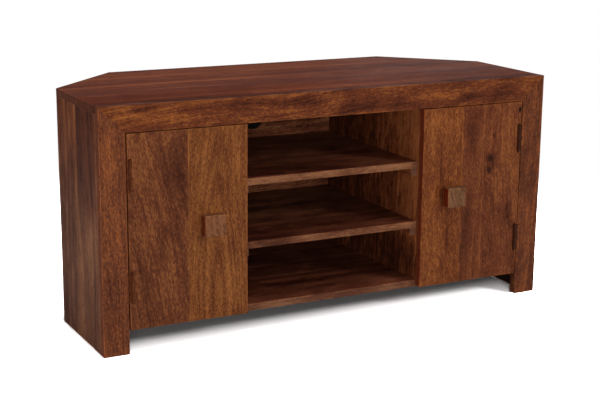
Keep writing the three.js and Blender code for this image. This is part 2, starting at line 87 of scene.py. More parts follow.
# Shader arithmetic: a finish is written as sums and products of wires, and a wire is one output of
# a node in the finish's own tree.
class Wire:
    """One output of a node. Arithmetic with wires and numbers adds Math nodes to the same tree."""

    def __init__(self, tree, socket):
        self.tree = tree
        self.socket = socket

    def node(self, kind, settings=None, inputs=None, output=0):
        """Adds a node, sets it up, feeds its inputs with values or wires, and gives one output."""
        made = self.tree.nodes.new("ShaderNode" + kind)
        for name, value in (settings or {}).items():
            if name == "stops":
                while len(made.color_ramp.elements) < len(value):
                    made.color_ramp.elements.new(1.0)
                for element, (position, tint) in zip(made.color_ramp.elements, value):
                    element.position = position
                    element.color = tint
            else:
                setattr(made, name, value)
        for name, value in (inputs or {}).items():
            if isinstance(value, Wire):
                self.tree.links.new(value.socket, made.inputs[name])
            else:
                made.inputs[name].default_value = value
        return Wire(self.tree, made.outputs[output])

    def also(self, output):
        """Gives another output of the node that this wire comes from."""
        return Wire(self.tree, self.socket.node.outputs[output])

    def maths(self, operation, *values):
        """Works an operation on one, two or three wires or numbers."""
        return self.node("Math", {"operation": operation}, dict(enumerate(values)))

    def __add__(self, other):
        return self.maths("ADD", self, other)

    def __radd__(self, other):
        return self.maths("ADD", other, self)

    def __sub__(self, other):
        return self.maths("SUBTRACT", self, other)

    def __rsub__(self, other):
        return self.maths("SUBTRACT", other, self)

    def __mul__(self, other):
        return self.maths("MULTIPLY", self, other)

    def __rmul__(self, other):
        return self.maths("MULTIPLY", other, self)

    def __pow__(self, other):
        return self.maths("POWER", self, other)

    def __abs__(self):
        return self.maths("ABSOLUTE", self)

    def step(self, start, end):
        """Rises smoothly from 0 where the wire is at start to 1 where it is at end."""
        limits = {"Value": self, "From Min": start, "From Max": end}
        return self.node("MapRange", {"interpolation_type": "SMOOTHSTEP"}, limits)

    def scaled(self, factors, shift):
        """A vector times three factors, plus a shift."""
        values = {0: self, 1: factors, 2: shift}
        return self.node("VectorMath", {"operation": "MULTIPLY_ADD"}, values)

    def noise(self, factors, shift, detail=2.0, roughness=0.5, distortion=0.0):
        """Smooth noise, about 0.5 in the middle, with a count of lumps per metre along each axis."""
        values = {
            "Vector": self.scaled(factors, shift),
            "Scale": 1.0,
            "Detail": detail,
            "Roughness": roughness,
            "Distortion": distortion,
        }
        return self.node("TexNoise", {}, values)

    def blend(self, tint_a, tint_b):
        """Mixes two colours, with this wire as the share of the second."""
        return self.node("Mix", {"data_type": "RGBA"}, {0: self, 6: tint_a, 7: tint_b}, output=2)


def colour(red, green, blue):
    """A screen colour of 0 to 255 a channel, as the linear colour that renders as it."""
    linear = [
        c / 12.92 if c <= 0.04045 else ((c + 0.055) / 1.055) ** 2.4
        for c in (red / 255, green / 255, blue / 255)
    ]
    return (*linear, 1.0)


def new_finish(name, **constants):
    """A new material's Principled shader with its constant sockets set, and the piece's coordinates."""
    material = bpy.data.materials.new(name)
    material.use_nodes = True
    tree = material.node_tree
    shader = tree.nodes["Principled BSDF"]
    for socket, value in constants.items():
        shader.inputs[socket.replace("_", " ")].default_value = value
    coordinates = tree.nodes.new("ShaderNodeTexCoord")
    return material, shader, Wire(tree, coordinates.outputs["Object"])


def feed(shader, **wires):
    """Links each wire to the shader's socket of that name."""
    for socket, wire in wires.items():
        wire.tree.links.new(wire.socket, shader.inputs[socket.replace("_", " ")])


# Room: a wide pale floor, and a plain white surround. The camera sees the surround as white, and so
# does gloss, less bright. To the camera the floor is white paper, overlit outside the cabinet's
# plan and far away, and painted darker inside the plan: a painted shade over the real shade between the
# cabinet's feet.
floor_half = 12.0
floor_corners = [(-floor_half, -floor_half, 0), (floor_half, -floor_half, 0)]
floor_corners += [(floor_half, floor_half, 0), (-floor_half, floor_half, 0)]
floor_mesh = bpy.data.meshes.new("floor")
floor_mesh.from_pydata(floor_corners, [], [(0, 1, 2, 3)])
floor = bpy.data.objects.new("floor", floor_mesh)
bpy.context.scene.collection.objects.link(floor)
floor_finish = bpy.data.materials.new("floor_paper")
floor_finish.use_nodes = True
floor_tree = floor_finish.node_tree
floor_tree.nodes.remove(floor_tree.nodes["Principled BSDF"])
floor_ray = floor_tree.nodes.new("ShaderNodeLightPath")
floor_coordinates = floor_tree.nodes.new("ShaderNodeTexCoord")
seen_direct = Wire(floor_tree, floor_ray.outputs["Is Camera Ray"])
floor_place = Wire(floor_tree, floor_coordinates.outputs["Object"])
floor_x = floor_place.node("SeparateXYZ", {}, {0: floor_place})
plan_high = cad_bounds[1]
front_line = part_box("face_rail")[0].y
# The slanted corners' line in plan: its distance from the middle, and its normal's two parts
slant_distance = 0.4676
slant_across = 0.7106
slant_deep = 0.7036
side_steepness = 5.0
slant_steepness = 2.0
shade_skew = 0.035
shade_inset = 0.004
floor_y = floor_x.also(1)
floor_out = abs(floor_x)
side_inside = (plan_high[0] - floor_out) * side_steepness
slant_inside = slant_distance - floor_out * slant_across - floor_y * slant_deep
inside = floor_x.maths("MINIMUM", side_inside, slant_inside * slant_steepness)
inside = floor_x.maths("MINIMUM", inside, floor_y - front_line)
inside = floor_x.maths("MINIMUM", inside, plan_high[1] - floor_y)
inside = inside - floor_x * shade_skew - shade_inset
floor_bounce = (0.55, 0.55, 0.55, 1.0)
floor_open = (4.0, 4.0, 4.0, 1.0)
floor_shaded = (0.5, 0.5, 0.5, 1.0)
floor_beyond = (12.0, 12.0, 12.0, 1.0)
plan_fade = (-0.05, 0.0)
shade_fade = (0.02, 0.13)
paper_fade = (0.9, 1.8)
# Painted shade: inside the cabinet's plan the camera sees the floor darker, fading in from the plan's
# edge and leaning with x.
floor_seen = inside.step(*plan_fade).blend(floor_beyond, floor_open)
floor_seen = inside.step(*shade_fade).blend(floor_seen, floor_shaded)
floor_tint = seen_direct.blend(floor_bounce, floor_seen)
floor_paper = seen_direct.node("BsdfDiffuse", {}, {"Color": floor_tint})
floor_far = floor_place.node("VectorMath", {"operation": "LENGTH"}, {0: floor_place}, output=1)
floor_glow = floor_place.node("Emission", {}, {"Color": (1.0, 1.0, 1.0, 1.0)})
whiteness = floor_far.step(*paper_fade) * seen_direct
floor_shader = floor_place.node("MixShader", {}, {0: whiteness, 1: floor_paper, 2: floor_glow})
floor_output = floor_tree.nodes["Material Output"]
floor_tree.links.new(floor_shader.socket, floor_output.inputs["Surface"])
floor_mesh.materials.append(floor_finish)

world = bpy.data.worlds.new("surround")
bpy.context.scene.world = world
world.use_nodes = True
world_tree = world.node_tree
world_ray = world_tree.nodes.new("ShaderNodeLightPath")
seen_camera = Wire(world_tree, world_ray.outputs["Is Camera Ray"])
seen_glossy = Wire(world_tree, world_ray.outputs["Is Glossy Ray"])
seen_through = Wire(world_tree, world_ray.outputs["Is Transmission Ray"])
surround_light = 0.16
surround_gloss = 0.1
seen_bright = seen_camera.maths("MAXIMUM", seen_camera, seen_through)
seen_bright = seen_bright.maths("MAXIMUM", seen_bright, seen_glossy * surround_gloss)
surround_strength = seen_bright.maths("MAXIMUM", seen_bright, surround_light)
world_backdrop = world_tree.nodes["Background"]
world_backdrop.inputs["Color"].default_value = (1.0, 1.0, 1.0, 1.0)
world_tree.links.new(surround_strength.socket, world_backdrop.inputs["Strength"])


def soft_light(name, azimuth, elevation, distance, width, height, share, in_gloss=False):
    """A soft box aimed at the cabinet's middle from an azimuth to the right of straight ahead and an
    elevation, in degrees. Its share is how bright it makes a white face turned to it."""
    turn = math.radians(azimuth)
    rise = math.radians(elevation)
    aim = Vector((0.0, -0.1, 0.3))
    away = Vector((math.sin(turn) * math.cos(rise), -math.cos(turn) * math.cos(rise), math.sin(rise)))
    lamp_data = bpy.data.lights.new(name, "AREA")
    lamp_data.shape = "RECTANGLE"
    lamp_data.size = width
    lamp_data.size_y = height
    lamp_data.energy = share * math.pi ** 2 * distance ** 2
    lamp = bpy.data.objects.new(name, lamp_data)
    lamp.location = aim + away * distance
    lamp.rotation_euler = away.to_track_quat("Z", "Y").to_euler()
    lamp.visible_camera = False
    lamp.visible_glossy = in_gloss
    bpy.context.scene.collection.objects.link(lamp)


soft_light("front_box", -20.0, 9.0, 4.0, 2.2, 0.9, 0.47)
soft_light("right_box", 36.0, 22.0, 3.5, 0.6, 0.6, 0.32)
soft_light("overhead_box", 10.0, 78.0, 3.5, 1.6, 1.6, 0.50)
soft_light("rear_box", 150.0, 12.0, 3.5, 1.6, 0.8, 0.22)
soft_light("sheen_box", 141.6, 12.0, 4.0, 1.1, 0.5, 0.01, in_gloss=True)


# Stained wood: a board's colour is cut from a round trunk. The rings are noise over the distance
# from a pith line beside the board, bent along its length, and fibres, short pores and a patchy
# stain lie over them. Arrises are brighter than the stain's golden colour by a factor, partly rubbed wear
# and partly a painted highlight.
knot_heart = colour(24, 12, 9)
rubbed_highlight_lift = 1.6
end_darkness = 0.45


def stained_tone(tone, tones):
    """Turns a tone of 0 to 1 into a stain's dark, middle and golden colours."""
    dark, base, gold = tones
    stops = [(0.1, dark), (0.5, base), (0.95, gold)]
    return tone.node("ValToRGB", {"stops": stops}, {0: tone})


def stained_wood(board, grain, face, tones, seed, pith=(0.02, -0.09), lean=0.0, slant=0.0,
                 ring_width=0.012, ring=0.4, streak=0.3, fleck=0.45, dash=0.95, mottle=0.55, blotch=0.45,
                 pore=0.2, bend=0.07, knots=(), marks=(), faced=(), lighter=0.0, wear_and_highlight=0.35, gloss=0.56,
                 sheen=0.16):
    """Makes the finish of a board whose fibres run along one axis and whose wide face spans
    another. The pith line lies at an offset across and behind the board's middle, lean tilts it
    into the board and slant across it, and the next numbers weigh the rings, streaks, flecks,
    dashes, patches, stain and pores. A knot or mark has its place along and across, its half length
    and half width, and its strength. A faced side has its axis, its direction, where its own tones
    start and end to fade below it, and those tones."""
    low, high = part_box(board)
    middle = (low + high) / 2
    half = (high - low) / 2
    along_axis = "xyz".index(grain)
    across_axis = "xyz".index(face)
    depth_axis = 3 - along_axis - across_axis
    order = (along_axis, across_axis, depth_axis)
    material, shader, place = new_finish(board + "_stain", Specular_IOR_Level=sheen)

    raw_x = place.node("SeparateXYZ", {}, {0: place})
    raw = (raw_x, raw_x.also(1), raw_x.also(2))
    along, across, depth = (raw[axis] - middle[axis] for axis in order)
    half_along, half_across, half_depth = (half[axis] for axis in order)
    straight_place = place.node("CombineXYZ", {}, {0: along, 1: across, 2: depth})
    shift = (seed * 3.7, seed * 1.9, seed * 2.3)

    # Rings: the distance from the bent pith line, raised in a hump round each knot
    sway = straight_place.noise((2.3, 4.0, 4.0), shift, 1.0) - 0.5
    bent_across = across + sway * bend + along * slant
    grain_place = place.node("CombineXYZ", {}, {0: along, 1: bent_across, 2: depth})
    reach_across = bent_across - pith[0]
    reach_depth = depth + along * lean - pith[1]
    radius = (reach_across * reach_across + reach_depth * reach_depth) ** 0.5

    def spread_from(spot_along, spot_across, half_length, half_width):
        """The squared distance from a spot, in its own half lengths and half widths."""
        off_along = (along - (spot_along - middle[along_axis])) * (1 / half_length)
        off_across = (across - (spot_across - middle[across_axis])) * (1 / half_width)
        return off_along * off_along + off_across * off_across

    knot_shade = None
    for *spot, strength in knots:
        spread = spread_from(*spot)
        radius = radius + place.maths("EXPONENT", spread * -0.2) * (spot[3] * 1.6)
        core = place.maths("EXPONENT", spread * -1.0) * strength
        knot_shade = core if knot_shade is None else knot_shade + core
    ring_count = radius * (1 / ring_width) + seed * 5.1
    ring_values = {"W": ring_count, "Scale": 1.0, "Detail": 3.0, "Roughness": 0.6}
    rings = place.node("TexNoise", {"noise_dimensions": "1D"}, ring_values)

    # Streaks, short dashes, pores, golden patches and broad stain
    streaks = grain_place.noise((8.0, 210.0, 210.0), shift, 2.0, 0.6)
    flecks = grain_place.noise((42.0, 130.0, 130.0), shift, 2.0, 0.6)
    dashes = grain_place.noise((120.0, 330.0, 330.0), shift, 2.0, 0.6)
    pores = grain_place.noise((150.0, 800.0, 800.0), shift, 1.0).step(0.58, 0.72)
    patches = grain_place.noise((12.0, 27.0, 27.0), shift, 3.0, 0.55, 0.6)
    stain = straight_place.noise((2.6, 7.0, 7.0), shift, 2.0, 0.5, 0.5)
    tone = (rings - 0.5) * ring + (streaks - 0.5) * streak + (flecks - 0.5) * fleck
    tone = tone + (dashes - 0.5) * dash
    tone = tone + (patches - 0.5) * mottle + (stain - 0.5) * blotch - pores * pore + (0.52 + lighter)
    for *spot, strength in marks:
        tone = tone + place.maths("EXPONENT", spread_from(*spot) * -1.0) * strength
    if knot_shade is not None:
        tone = tone - knot_shade * 0.5
    tint = stained_tone(tone, tones)
    for axis, direction, near, far, own_tones in faced:
        number = "xyz".index(axis)
        face_place = direction * half[number] + middle[number]
        from_face = abs(raw[number] - face_place)
        tint = from_face.step(near, far).blend(stained_tone(tone, own_tones), tint)
    if knot_shade is not None:
        tint = knot_shade.step(0.25, 0.8).blend(tint, knot_heart)

    # Arrises: the second smallest of the distances to the faces tells how near an arris is
    gap_along = half_along - abs(along)
    gap_across = half_across - abs(across)
    gap_depth = half_depth - abs(depth)
    nearer = place.maths("MINIMUM", gap_along, gap_across)
    farther = place.maths("MAXIMUM", gap_along, gap_across)
    arris = place.maths("MAXIMUM", nearer, place.maths("MINIMUM", farther, gap_depth))
    # Lighter arrises: partly rubbed wear and partly a painted highlight along the edges.
    rubbed = (1.0 - arris.step(0.0003, 0.0030)) * patches.step(0.35, 0.7) * wear_and_highlight
    dark, gold = tones[0], tones[2]
    rubbed_highlight_tint = tuple(min(1.0, c * rubbed_highlight_lift) for c in gold[:3]) + (1.0,)
    tint = rubbed.blend(tint, rubbed_highlight_tint)
    end_grain = (1.0 - gap_along.step(0.0002, 0.0012)) * end_darkness
    tint = end_grain.blend(tint, dark)

    roughness = (dashes - 0.5) * 0.18 + (patches - 0.5) * -0.16 + pores * 0.12 + gloss
    relief = dashes * 0.5 + streaks * 0.5 - pores * 0.9
    normal = relief.node("Bump", {}, {"Strength": 0.3, "Distance": 0.0004, "Height": relief})
    feed(shader, Base_Color=tint, Roughness=roughness, Normal=normal)
    nodes[board].data.materials.clear()
    nodes[board].data.materials.append(material)
    return material


# Face frame: a rail between two posts that run down as feet, solid boards mitred at the corners
# and glued. Their fronts show a lively honey figure with dark streaks.
front_tones = (colour(50, 20, 9), colour(93, 45, 24), colour(146, 84, 37))
post_tones = (colour(54, 22, 12), colour(95, 51, 31), colour(150, 84, 42))
right_post_tones = (colour(52, 20, 11), colour(91, 48, 28), colour(144, 78, 38))
# The rail's top face gets its own darker, redder tones. Their greyish-pink pale end is a painted sheen.
rail_top_and_sheen_tones = (colour(50, 22, 12), colour(80, 37, 23), colour(124, 78, 64))
side_top_tones = (colour(74, 33, 20), colour(134, 68, 40), colour(192, 112, 66))
rail_top_fade = (0.0010, 0.0015)
side_fade = (0.0006, 0.0009)
rail_figure_and_highlight_marks = (
    # The first mark is a painted highlight on the rail's top arris at its left end. The others are figure
    # in the wood.
    (-0.53, 0.577, 0.07, 0.008, 0.12),
    (-0.50, 0.548, 0.06, 0.015, 0.25),
    (-0.40, 0.540, 0.05, 0.012, 0.22),
    (-0.20, 0.565, 0.08, 0.010, -0.20),
    (-0.105, 0.554, 0.07, 0.012, -0.30),
    (0.10, 0.530, 0.08, 0.010, -0.15),
    (0.30, 0.545, 0.06, 0.012, 0.25),
    (0.375, 0.537, 0.03, 0.010, -0.30),
)
stained_wood("face_rail", "x", "z", front_tones, 1, pith=(-0.05, -0.03), lean=0.09, slant=-0.09,
             ring=0.6, streak=0.4, mottle=0.75, marks=rail_figure_and_highlight_marks,
             faced=[("z", 1, *rail_top_fade, rail_top_and_sheen_tones)])
left_post_marks = (
    (0.45, -0.578, 0.08, 0.012, 0.15),
    (0.30, -0.560, 0.08, 0.010, 0.15),
    (0.16, -0.580, 0.05, 0.014, -0.15),
)
stained_wood("face_post_left", "z", "x", post_tones, 2, pith=(0.09, -0.05), lean=0.03, slant=0.06,
             ring=0.3, streak=0.4, dash=1.15, mottle=0.28, blotch=0.15, marks=left_post_marks,
             faced=[("x", -1, *side_fade, side_top_tones)])
right_post_marks = (
    (0.30, 0.585, 0.05, 0.012, -0.20),
    (0.17, 0.570, 0.06, 0.014, 0.10),
    (0.06, 0.590, 0.08, 0.012, -0.15),
)
stained_wood("face_post_right", "z", "x", right_post_tones, 3, pith=(-0.08, -0.05), lean=-0.04,
             slant=-0.05, streak=0.5, blotch=0.25, mottle=0.6, marks=right_post_marks,
             faced=[("x", 1, *side_fade, side_top_tones)])

# Top: four planks glued side by side and nailed down on the carcass, stained a redder brown, with
# long straight streaks. Their sawn ends are dark at the front and like the sides at the rear.
top_tones = (colour(64, 24, 14), colour(101, 47, 30), colour(144, 78, 48))
top_front_tones = (colour(62, 21, 10), colour(98, 42, 22), colour(140, 70, 36))
top_end_dark = (colour(104, 54, 34), colour(152, 82, 52), colour(190, 114, 76))
top_end_pale = (colour(116, 76, 58), colour(172, 116, 92), colour(205, 150, 120))
top_marks = (
    ((0.45, -0.20, 0.20, 0.06, -0.12), (-0.45, -0.22, 0.15, 0.04, -0.08),
     (0.0, -0.22, 3.0, 0.008, -0.32)),
    ((-0.30, -0.05, 0.25, 0.015, 0.25), (0.50, -0.05, 0.20, 0.08, -0.15)),
    ((-0.30, 0.03, 0.30, 0.030, 0.25), (0.45, 0.06, 0.30, 0.08, -0.05)),
    ((-0.30, 0.20, 0.25, 0.080, 0.22), (0.10, 0.20, 0.20, 0.08, 0.18)),
)
top_piths = (0.16, -0.14, 0.2, -0.17)
for number, pith_across in enumerate(top_piths):
    top_end_tones = top_end_dark if number < 3 else top_end_pale
    top_ends = [("x", way, *side_fade, top_end_tones) for way in (-1, 1)]
    plank_tones = top_tones if number else top_front_tones
    stained_wood(f"top_plank_{number + 1}", "x", "y", plank_tones, 4 + number, pith=(pith_across, -0.05),
                 lean=0.01, ring_width=0.045, ring=0.8 if number < 2 else 0.65,
                 streak=0.55 if number < 2 else 0.4, fleck=0.4, dash=0.4, mottle=0.3,
                 pore=0.08, bend=0.02, marks=top_marks[number], gloss=0.5,
                 sheen=0.12 if number else 0.07, lighter=0.03 if number > 1 else 0.0,
                 faced=top_ends)

# Short sides and slanted corner panels: upright planks in a greyer brown stain that turns redder
# toward the top, in broad bands. Their hidden backs are painted dark, a painted shade.
side_tones = (colour(81, 45, 34), colour(139, 85, 61), colour(198, 132, 90))
# Painted shade on the hidden inner backs of the side planks.
side_back_shade_tones = (colour(24, 13, 10), colour(40, 22, 17), colour(56, 34, 26))
side_top_fade = (0.0, 0.32)
side_grain = {"ring_width": 0.03, "ring": 0.95, "streak": 0.3, "fleck": 0.3, "dash": 0.55, "blotch": 1.15}
redder_top = ("z", 1, *side_top_fade, side_top_tones)
for number, side in enumerate(("left", "right")):
    inward = 1 - 2 * number
    for plank in (1, 2):
        stained_wood(f"side_plank_{side}_{plank}", "z", "y", side_tones, 7 + 2 * number + plank,
                     pith=(0.1, -0.06), lean=0.03, lighter=0.03 * (plank - 1),
                     faced=[redder_top, ("x", inward, *side_fade, side_back_shade_tones)], **side_grain)
    stained_wood(f"corner_panel_{side}", "z", "y", side_tones, 12 + number, pith=(0.1, -0.06),
                 faced=[redder_top], **side_grain)

# Back panel and partitions: thinner boards with a thin coat, the partitions with upright ripples.
inner_tones = (colour(58, 28, 17), colour(118, 60, 34), colour(168, 98, 56))
back_tones = (colour(50, 24, 15), colour(97, 54, 35), colour(136, 86, 56))
partition_edge_tones = (colour(46, 20, 11), colour(86, 46, 27), colour(122, 74, 44))
edge_fade = (0.0012, 0.0018)
# Painted light and shade on the partitions: darker in the lower bay and toward the rear, lighter at the
# front of the middle and upper bays.
partition_light_and_shade_marks = (
    (0.13, -0.15, 0.07, 0.25, -0.32),
    (0.30, 0.20, 0.50, 0.25, -0.44),
    (0.28, -0.22, 0.30, 0.10, 0.18),
    (0.37, -0.20, 0.17, 0.10, 0.20),
)
stained_wood("back_panel", "x", "z", back_tones, 14, pith=(0.2, -0.04), ring=0.6, streak=0.9,
             mottle=1.1, gloss=0.65)
for number, side in enumerate(("left", "right")):
    stained_wood(f"partition_{side}", "z", "y", inner_tones, 15 + number, pith=(0.06, -0.05),
                 ring=0.6, streak=1.1, fleck=1.1, mottle=0.9, pore=0.4, lighter=0.05, gloss=0.65,
                 marks=partition_light_and_shade_marks, faced=[("y", -1, *edge_fade, partition_edge_tones)])

# Bottom board, shelves and their cleats: the shelves lie on cleats screwed to the partitions. Their
# front edges are planed clean and look paler than their tops, and the tops are painted paler toward the
# rear, a painted light in the back of the bays.
shelf_tones = (colour(42, 16, 11), colour(82, 40, 27), colour(120, 68, 46))
# Painted light: the rear tones brighten the back of the bays.
shelf_rear_light_tones = (colour(56, 28, 18), colour(102, 60, 42), colour(140, 92, 66))
bottom_rear_light_tones = (colour(42, 18, 12), colour(82, 43, 29), colour(120, 72, 50))
shelf_edge_tones = (colour(68, 36, 22), colour(102, 61, 39), colour(134, 90, 60))
bottom_edge_tones = (colour(62, 33, 21), colour(91, 53, 36), colour(120, 80, 55))
rear_light_fade = (0.10, 0.40)
# Painted light and shade on the shelf tops: lighter near the right partition at the front, darker at the
# left front of the lower shelf.
shelf_light_and_shade_marks = (
    ((0.17, -0.17, 0.09, 0.06, 0.30),),
    ((0.19, -0.16, 0.08, 0.06, 0.16), (-0.18, -0.20, 0.12, 0.06, -0.28)),
    ((0.17, -0.16, 0.10, 0.08, 0.42),),
)
for number, board in enumerate(["bottom_board", "shelf_lower", "shelf_upper"]):
    edge_tones = shelf_edge_tones if number else bottom_edge_tones
    rear_light_tones = shelf_rear_light_tones if number else bottom_rear_light_tones
    stained_wood(board, "x", "y", shelf_tones, 18 + number, pith=(0.1, -0.05), lean=0.02, ring=1.1,
                 ring_width=0.03, streak=0.9, mottle=1.1, blotch=0.6, bend=0.03,
                 marks=shelf_light_and_shade_marks[number],
                 faced=[("y", 1, *rear_light_fade, rear_light_tones), ("y", -1, *edge_fade, edge_tones)])
cleat_boards = ["bottom_cleat_left", "bottom_cleat_right"]
for level in ("lower", "upper"):
    cleat_boards += [f"shelf_cleat_{level}_left", f"shelf_cleat_{level}_right"]
cleat_end_tones = (colour(90, 56, 42), colour(128, 86, 66), colour(150, 106, 84))
cleat_end_fade = (0.0008, 0.0012)
for number, board in enumerate(cleat_boards):
    stained_wood(board, "y", "z", inner_tones, 22 + number, gloss=0.65,
                 faced=[("y", -1, *cleat_end_fade, cleat_end_tones)])

# Doors: upright planks glued edge to edge, held flat by two battens screwed on behind. The left
# door's inner plank has a nested arch figure, and the right door's outer plank has small knots.
door_tones = (colour(52, 22, 11), colour(93, 49, 28), colour(142, 86, 46))
light_door_tones = (colour(62, 28, 12), colour(103, 56, 27), colour(150, 93, 46))
right_door_tones = (colour(53, 21, 10), colour(95, 48, 26), colour(145, 85, 43))
right_light_tones = (colour(63, 26, 10), colour(103, 53, 25), colour(150, 89, 42))
door_edge_tones = (colour(70, 26, 14), colour(112, 48, 27), colour(136, 66, 38))
left_inner_marks = (
    (0.430, -0.265, 0.035, 0.006, 0.25),
    (0.420, -0.340, 0.060, 0.020, 0.12),
    (0.150, -0.290, 0.080, 0.020, 0.10),
    (0.240, -0.270, 0.050, 0.016, -0.10),
)
stained_wood("door_plank_left_1", "z", "x", light_door_tones, 31, pith=(0.0, -0.03), lean=0.11,
             ring=0.6, ring_width=0.010, mottle=0.42, dash=1.15, marks=left_inner_marks,
             faced=[("x", 1, *side_fade, door_edge_tones)])
left_outer_marks = (
    (0.425, -0.425, 0.055, 0.028, -0.22),
    (0.340, -0.410, 0.050, 0.016, -0.12),
    (0.440, -0.500, 0.060, 0.020, 0.18),
    (0.290, -0.480, 0.070, 0.020, 0.12),
    (0.170, -0.440, 0.060, 0.030, 0.10),
)
stained_wood("door_plank_left_2", "z", "x", door_tones, 32, pith=(0.1, -0.05), lean=0.05, slant=0.2,
             dash=1.1, mottle=0.45, blotch=0.4, marks=left_outer_marks)
right_inner_marks_and_knob_shadow = (
    (0.485, 0.290, 0.040, 0.040, 0.15),
    (0.360, 0.294, 0.050, 0.0025, -0.45),
    (0.300, 0.302, 0.050, 0.0025, -0.30),
    (0.180, 0.318, 0.040, 0.0035, -0.30),
    (0.110, 0.305, 0.030, 0.006, -0.25),
    (0.200, 0.262, 0.120, 0.016, 0.12),
    # A painted shadow of the knob on the door, to its left.
    (0.287, 0.2970, 0.026, 0.007, -0.25),
)
stained_wood("door_plank_right_1", "z", "x", right_light_tones, 33, pith=(-0.08, -0.06), lean=0.03,
             slant=0.05, ring=0.3, dash=1.2, mottle=0.3, blotch=0.15, marks=right_inner_marks_and_knob_shadow,
             faced=[("x", -1, *side_fade, door_edge_tones)])
right_middle_marks = (
    (0.440, 0.385, 0.040, 0.016, -0.20),
    (0.230, 0.385, 0.080, 0.020, -0.15),
    (0.330, 0.385, 0.050, 0.020, 0.12),
    (0.150, 0.370, 0.090, 0.016, -0.18),
)
stained_wood("door_plank_right_2", "z", "x", right_door_tones, 34, pith=(0.1, -0.08), slant=-0.04,
             ring=0.32, mottle=0.42, blotch=0.3, marks=right_middle_marks)
door_knots = (
    (0.494, 0.5302, 0.0062, 0.0058, 1.1),
    (0.433, 0.4535, 0.0055, 0.0045, 0.52),
    (0.376, 0.4440, 0.0125, 0.0125, 0.62),
    (0.346, 0.4400, 0.0110, 0.0120, 0.58),
    (0.338, 0.4440, 0.0040, 0.0035, 0.30),
    (0.224, 0.412, 0.0040, 0.0030, 0.55),
    (0.236, 0.500, 0.0080, 0.0050, 0.50),
    (0.216, 0.506, 0.0060, 0.0040, 0.50),
)
right_outer_marks = (
    (0.400, 0.490, 0.080, 0.030, 0.10),
    (0.360, 0.445, 0.040, 0.022, -0.10),
    (0.220, 0.495, 0.050, 0.030, -0.12),
    (0.120, 0.490, 0.050, 0.030, -0.10),
)
stained_wood("door_plank_right_3", "z", "x", right_door_tones, 35, pith=(-0.09, -0.06), lean=0.02,
             slant=0.04, blotch=0.25, mottle=0.5, knots=door_knots, marks=right_outer_marks)
for side_number, side in enumerate(("left", "right")):
    for level_number, level in enumerate(("upper", "lower")):
        stained_wood(f"door_batten_{side}_{level}", "x", "z", shelf_tones,
                     36 + 2 * side_number + level_number, lighter=0.1, gloss=0.65)


# Smooth hardware: each piece is one or more closed skins, worked out as rings of points.
def skin(rings, loop=False):
    """Closes rows of points into a skin: a quad between each pair of neighbours round the rings,
    and either one flat face at each end or, for a loop, the last ring joined to the first."""
    count, around = rings.shape[:2]
    rows = np.arange(count if loop else count - 1)
    row, column = np.meshgrid(rows, np.arange(around), indexing="ij")
    next_row = (row + 1) % count
    next_column = (column + 1) % around
    corners = (row * around + column, row * around + next_column)
    corners += (next_row * around + next_column, next_row * around + column)
    faces = np.stack(corners, axis=-1).reshape(-1, 4).tolist()
    if not loop:
        faces.append(list(range(around))[::-1])
        faces.append(list(range((count - 1) * around, count * around)))
    return rings.reshape(-1, 3), faces


def turned(profile, centre, axis, steps=48):
    """Rings of a turned shape: each profile row is a radius and a height along the axis."""
    along = Vector(axis)
    side = along.orthogonal().normalized()
    other = along.cross(side)
    radius, height = np.array(profile, float).T
    angle = np.arange(steps) * (2 * np.pi / steps)
    around = np.cos(angle)[:, None] * np.array(side) + np.sin(angle)[:, None] * np.array(other)
    lift = height[:, None, None] * np.array(along)
    return np.array(centre) + radius[:, None, None] * around + lift


def rounded_outline(width, height, radius, steps=8):
    """Points anticlockwise round a rectangle with rounded corners, a quarter circle at each."""
    turn = np.linspace(0, np.pi / 2, steps)
    quarters = np.arange(4)[:, None] * (np.pi / 2) + turn
    sign_u = np.array([1, -1, -1, 1])[:, None]
    sign_v = np.array([1, 1, -1, -1])[:, None]
    u = sign_u * (width / 2 - radius) + radius * np.cos(quarters)
    v = sign_v * (height / 2 - radius) + radius * np.sin(quarters)
    return np.stack([u, v], axis=-1).reshape(-1, 2)


def eased_plate(outline, thickness, ease, centre, axis_u, axis_v, axis_w, steps=5):
    """Rings of a flat plate: its outline in the plane of two axes, its thickness along the third,
    and its arrises rounded by moving the outline inwards along its own normals."""
    ahead = np.roll(outline, -1, axis=0) - outline
    behind = outline - np.roll(outline, 1, axis=0)
    ahead = ahead / np.linalg.norm(ahead, axis=1)[:, None]
    behind = behind / np.linalg.norm(behind, axis=1)[:, None]
    tangent = ahead + behind
    tangent = tangent / np.linalg.norm(tangent, axis=1)[:, None]
    inward = np.stack([-tangent[:, 1], tangent[:, 0]], axis=-1)
    turn = np.linspace(0, np.pi / 2, steps)
    inset = ease * (1 - np.sin(turn))
    rise = ease * (1 - np.cos(turn))
    face_inset = [1.25 * ease]
    inset = np.concatenate([face_inset, inset, inset[::-1], face_inset])
    height = np.concatenate([[0.0], rise, thickness - rise[::-1], [thickness]])
    flat = outline + inset[:, None, None] * inward
    basis = np.array([axis_u, axis_v, axis_w], float)
    return (
        np.array(centre)
        + flat[..., :1] * basis[0]
        + flat[..., 1:] * basis[1]
        + height[:, None, None] * basis[2]
    )


sharp_angle = math.radians(38)


def make_piece(name, skins, material, body, replaced=()):
    """Joins skins into one smooth mesh, turns its faces outwards, and rides it on its body."""
    vertices = []
    faces = []
    count = 0
    for points, quads in skins:
        vertices.append(points)
        faces += [[corner + count for corner in face] for face in quads]
        count += len(points)
    mesh = bpy.data.meshes.new(name)
    mesh.from_pydata(np.concatenate(vertices).tolist(), [], faces)
    outward_mesh(mesh)
    mesh.polygons.foreach_set("use_smooth", np.ones(len(mesh.polygons), bool))
    mesh.set_sharp_from_angle(angle=sharp_angle)
    mesh.materials.append(material)
    piece = bpy.data.objects.new(name, mesh)
    bpy.context.scene.collection.objects.link(piece)
    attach(piece, body)
    if replaced:
        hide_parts(*replaced)


